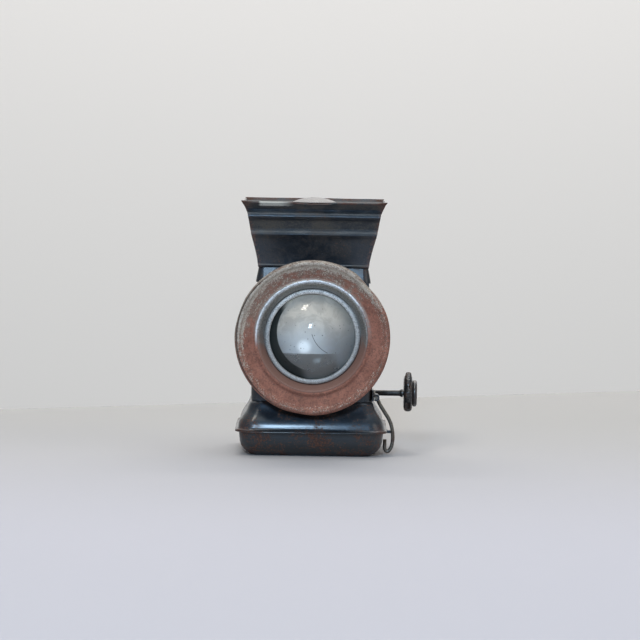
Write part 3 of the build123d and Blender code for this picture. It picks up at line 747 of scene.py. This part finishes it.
def make_hood():
    face = [(x, y, z) for z, y, x in HOOD]
    front = sheet_panel("hood_front_pressing", face, 0.7, 0, cuts=46)
    for x in range(-9, 10, 3):
        drop = 1.45 * sqrt(max(0.0, 1 - (x / 13.0) ** 2))
        edit(front)
        pick(front, lambda px, py, pz: abs(px - x) < 1.7 and pz > 143.0)
        bpy.ops.transform.translate(value=(0, 0.25 * MM, -drop * 0.5 * MM))
        bpy.ops.object.mode_set(mode="OBJECT")
    for side in (-1, 1):
        nudge(front, (side * 40.3, -38.5, 143.2), (side * 0.7, -0.5, 0.6), 5.0)
    nudge(front, (-14.0, -30.0, 114.0), (0.0, 0.7, 0.0), 16.0)
    uneven(front, 0.5, 17)
    hand_over(front, hood_japan, "case", "japan", "hood_front")

    back = sheet_panel("hood_back_pressing", face, 0.7, 180, cuts=46)
    uneven(back, 0.5, 15, 1)
    hand_over(back, hood_japan, "case", "japan", "hood_back")


# ------------------------------------------------------------------ font
def make_font():
    dome = [(43.0, 41.4, 14.36), (43.05, 41.45, 14.75), (42.6, 41.0, 15.05), (41.8, 40.2, 15.1),
            (41.35, 39.75, 15.6), (41.2, 39.6, 16.6), (40.85, 39.25, 18.2), (40.1, 38.5, 20.0),
            (38.9, 37.3, 22.0), (37.5, 35.9, 24.0), (36.3, 34.6, 26.0), (35.5, 33.8, 28.0),
            (35.0, 33.25, 29.4), (34.5, 32.7, 30.2), (33.7, 31.9, 30.5), (28.0, 26.5, 30.5),
            (20.0, 19.0, 30.5), (10.6, 10.6, 30.5)]
    upper = pressed("font_dome", dome, 9.0)
    finish_with(upper, "SOLIDIFY", thickness=0.6 * MM, offset=-1.0)
    uneven(upper, 0.45, 15)
    hand_over(upper, font_japan, "font", "japan_rusty", "font_upper")

    pan = [(43.0, 41.4, 14.24), (43.05, 41.45, 13.8), (42.4, 40.8, 13.55), (41.2, 39.6, 13.5),
           (40.8, 39.2, 12.9), (40.65, 39.05, 11.0), (40.3, 38.7, 8.0), (39.5, 37.9, 5.4),
           (38.0, 36.4, 3.2), (36.2, 34.6, 1.5), (34.4, 32.8, 0.45), (33.0, 31.4, 0.05),
           (29.5, 28.0, 0.02), (28.4, 27.0, 0.5), (15.0, 14.0, 0.6), (1.0, 1.0, 0.6),
           (0.01, 0.01, 0.6)]
    lower = pressed("font_pan", pan, 9.0)
    edit(lower)
    bpy.ops.mesh.select_all(action="SELECT")
    bpy.ops.mesh.normals_make_consistent(inside=False)
    bpy.ops.object.mode_set(mode="OBJECT")
    finish_with(lower, "SOLIDIFY", thickness=0.6 * MM, offset=-1.0)
    hand_over(lower, pan_japan, "font", "japan_rusty", "font_lower")


# ------------------------------------------------------------------ winder, wick and clip
def make_winder():
    axis = (0, -3.6, 34.0)
    stem = turned("stem", [(0.01, -6.2), (0.9, -6.2), (1.0, -6.0), (1.0, 8.3), (1.6, 8.4),
                           (1.6, 30.0), (1.62, 50.2), (1.9, 50.8), (2.3, 51.3), (2.3, 52.2),
                           (1.2, 52.4), (1.2, 59.4), (0.01, 59.5)], "X", axis, 32)
    hand_over(stem, knob_black, "winder", "knob_metal", "winder_stem")

    knob = turned("knob_disc", [(1.22, 52.6), (5.5, 52.6), (8.2, 52.65), (9.2, 52.85),
                                (9.9, 53.3), (10.3, 54.0), (10.45, 55.0), (10.4, 56.0),
                                (10.1, 56.8), (9.5, 57.3), (8.8, 57.55), (1.22, 57.55),
                                (1.22, 52.6)], "X", axis, 144, 50)
    edit(knob)
    for groove in range(36):
        angle = radians(10 * groove)
        middle = Vector((55.0, -3.6 + 10.4 * cos(angle), 34.0 + 10.4 * sin(angle)))
        pick(knob, lambda x, y, z: 53.2 < x < 57.0 and abs(y - middle.y) < 0.42
             and abs(z - middle.z) < 0.42)
        inward = Vector((0, -cos(angle), -sin(angle))) * 0.3 * MM
        bpy.ops.transform.translate(value=inward)
    bpy.ops.object.mode_set(mode="OBJECT")
    hand_over(knob, knob_black, "winder", "knob_metal", "winder_knob")

    boss = turned("knob_button", [(1.22, 57.66), (6.6, 57.66), (7.3, 57.95), (7.6, 58.5),
                                  (7.6, 59.3), (7.3, 59.9), (6.7, 60.2), (5.0, 60.2), (4.4, 59.9),
                                  (3.8, 59.6), (1.22, 59.6), (1.22, 57.66)], "X", axis, 64, 50)
    hand_over(boss, knob_black, "winder", "knob_metal", "knob_boss")


def make_wick():
    drop_selection()
    low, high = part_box("wick")
    bpy.ops.mesh.primitive_cube_add(size=1.0, location=(low + high) / 2)
    wick = bpy.context.object
    bpy.ops.object.mode_set(mode="EDIT")
    bpy.ops.transform.resize(value=high - low)
    bpy.ops.mesh.select_mode(type="EDGE")
    bpy.ops.mesh.subdivide(number_cuts=24)
    bpy.ops.mesh.bevel(offset=0.2 * MM, segments=2)
    settle(wick, "wick_tape", 60)
    tattered = random.Random(4)
    for step in range(13):
        x = -6.0 + step
        nudge(wick, (x, 0, high.z / MM), (0, 0, -0.1 - 0.5 * tattered.random()), 0.9, grab=0.5)
    uneven(wick, 0.18, 2.5)
    hand_over(wick, wick_cotton, "wick", "cotton", "wick")

    low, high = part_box("felt_pad")
    drop_selection()
    bpy.ops.mesh.primitive_cube_add(size=1.0, location=(low + high) / 2)
    pad = bpy.context.object
    bpy.ops.object.mode_set(mode="EDIT")
    bpy.ops.transform.resize(value=(high - low) * 0.98)
    bpy.ops.mesh.select_mode(type="EDGE")
    bpy.ops.mesh.subdivide(number_cuts=14)
    bpy.ops.mesh.select_all(action="DESELECT")
    bpy.ops.mesh.select_mode(type="FACE")
    pick(pad, lambda x, y, z: abs(x) < 8 and abs(y) < 3.5 and (z > 9 or z < 1.2), "polygons")
    bpy.ops.mesh.bridge_edge_loops()
    settle(pad, "wadding", 60)
    finish_with(pad, "BEVEL", width=1.2 * MM, segments=3, limit_method="ANGLE")
    uneven(pad, 0.7, 6)
    hand_over(pad, oily_felt, "font", "felt", "felt_pad")


def make_clip():
    y = -17.0
    run = [(37.3, 31.9), (38.5, 29.4), (41.3, 24.8), (44.3, 20.0), (45.9, 15.8), (46.6, 10.6),
           (46.4, 6.8), (45.4, 3.4), (43.5, 1.75), (42.2, 3.2), (42.05, 6.0), (42.05, 8.6)]
    points = [(36.6, -26.6, 33.0), (36.6, -22.0, 33.0), (36.65, y - 1.2, 33.0)]
    points += [(x, y, z) for x, z in run]
    wire = bent_wire("clip_spring_wire", points, 1.05)
    hand_over(wire, steel_wire, "clip", "spring_wire", "clip_wire")


def make_vent():
    ball, top = 31.2, 145.4
    dome = [(max(ball * sin(radians(t)), 0.01), top - ball + ball * cos(radians(t)))
            for t in (0, 3, 6, 9, 12, 15, 18, 21)]
    rim = [(12.0, 142.95), (12.4, 142.8), (12.35, 142.62), (11.9, 142.6), (11.3, 142.85)]
    under = [(r * 0.93, z - 0.65) for r, z in reversed(dome[1:])]
    under[-1] = (0.01, top - 0.65)
    cap = turned("smoke_cap", dome + rim + under, "Z", (0, 0, 0), 96, 50)
    uneven(cap, 0.25, 8)
    hand_over(cap, cap_nickel, "case", "nickel", "vent_cap")


make_bell()
make_lens()
make_hood()
make_font()
make_winder()
make_wick()
make_clip()
make_vent()

dress("case_shoulder", shoulder_japan)
for node in ("case_shell", "front_plate", "rear_bracket",
             "clip_bearing", "door_hinge_leaf", "door_hinge_knuckles", "catch_spring",
             "door_tongue", "smoke_baffle", "font_rim", "font_lug", "base_skirt"):
    dress(node, body_japan)
for node in ("hood_left", "hood_right"):
    dress(node, hood_side_japan)
dress("hood_lid", hood_japan)
for node in ("vent_cap_legs", "jewel_rim_left", "jewel_rim_right", "hinge_pin", "bracket_rivets",
             "catch_rivets", "clip_rivets"):
    dress(node, fitting_nickel)
for node in ("reflector", "reflector_stays"):
    dress(node, bright_tin)
for node in ("burner_base", "wick_tube", "tube_sleeve", "feed_wheels"):
    dress(node, brass)
dress("jewel_left", ruby)
dress("jewel_right", green)
dress("bracket_spring", steel_wire)


# ------------------------------------------------------------------ room and light
def room_finish(name, colour, far_colour, rough):
    """Plain painted or cloth surface, one colour in front and another far back: on the table cloth
    a painted falloff of light, lighter and bluer in front and darker and warmer far back.
    """
    f = Finish(name)
    # Painted light and shade: blend from the front colour to the far colour going back.
    back = f.step(f.axis("Y"), -450.0, 250.0)
    shade = f.mix(back, colour, far_colour)
    f.set(Base_Color=f.mix(f.grain(300, 3, 0.5) * 0.10, shade, tuple(c * 0.9 for c in colour)))
    f.shader.inputs["Roughness"].default_value = rough
    return f.material


def make_room():
    """A pale cloth-covered table in front of a pale wall."""
    drop_selection()
    bpy.ops.mesh.primitive_plane_add(size=1.0, location=(0, 0, 0))
    floor = bpy.context.object
    bpy.ops.object.mode_set(mode="EDIT")
    bpy.ops.transform.resize(value=(7, 4.0, 1))
    bpy.ops.transform.translate(value=(0, 0.29 - 2.0, 0))
    bpy.ops.object.mode_set(mode="OBJECT")
    floor.rotation_euler[2] = radians(27)
    bpy.ops.object.transform_apply(location=True, rotation=True, scale=True)
    floor.name = "table_top"
    floor.data.materials.append(room_finish("table_cloth", (0.455, 0.445, 0.480),
                                             (0.37, 0.36, 0.345), 0.8))
    drop_selection()
    bpy.ops.mesh.primitive_plane_add(size=1.0, location=(0, 2.2, 0), rotation=(pi / 2, 0, 0))
    wall = bpy.context.object
    bpy.ops.object.mode_set(mode="EDIT")
    bpy.ops.transform.resize(value=(9, 1, 6))
    bpy.ops.object.mode_set(mode="OBJECT")
    bpy.ops.object.transform_apply(location=True, rotation=True, scale=True)
    wall.name = "back_wall"
    wall.data.materials.append(room_finish("wall_paint", (0.87, 0.825, 0.775),
                                            (0.87, 0.825, 0.775), 0.9))


def lamp_light(name, spot, target, size, power, colour):
    light = bpy.data.lights.new(name, "AREA")
    light.shape = "RECTANGLE"
    light.size, light.size_y = size
    light.energy = power
    light.color = colour
    holder = bpy.data.objects.new(name, light)
    SCENE.collection.objects.link(holder)
    spot = Vector(spot)
    look = (Vector(target) - spot).to_track_quat("-Z", "Y").to_matrix().to_4x4()
    holder.matrix_world = Matrix.Translation(spot) @ look


make_room()
lamp_light("window", (-0.29, -3.3, 1.27), (0, 0, 0.08), (0.42, 0.42), 62, (0.54, 0.76, 1.0))
lamp_light("lamp", (-0.55, -0.98, 1.84), (0, 0, 0.08), (0.34, 0.5), 13, (1.0, 0.93, 0.82))
lamp_light("ceiling", (0.2, -0.1, 2.3), (0, 0, 0.0), (2.2, 1.6), 27, (0.84, 0.92, 1.0))
lamp_light("soft_right", (1.7, -1.0, 0.9), (0, 0, 0.08), (1.2, 1.2), 8, (1.0, 0.94, 0.88))
lamp_light("wall_wash", (0, 1.3, 2.2), (0, 2.2, 0.4), (3.0, 0.6), 50, (1.0, 0.95, 0.90))
world = bpy.data.worlds.new("room_air")
SCENE.world = world
world.use_nodes = True
world.node_tree.nodes["Background"].inputs["Color"].default_value = (0.90, 0.94, 1.0, 1.0)
world.node_tree.nodes["Background"].inputs["Strength"].default_value = 0.20
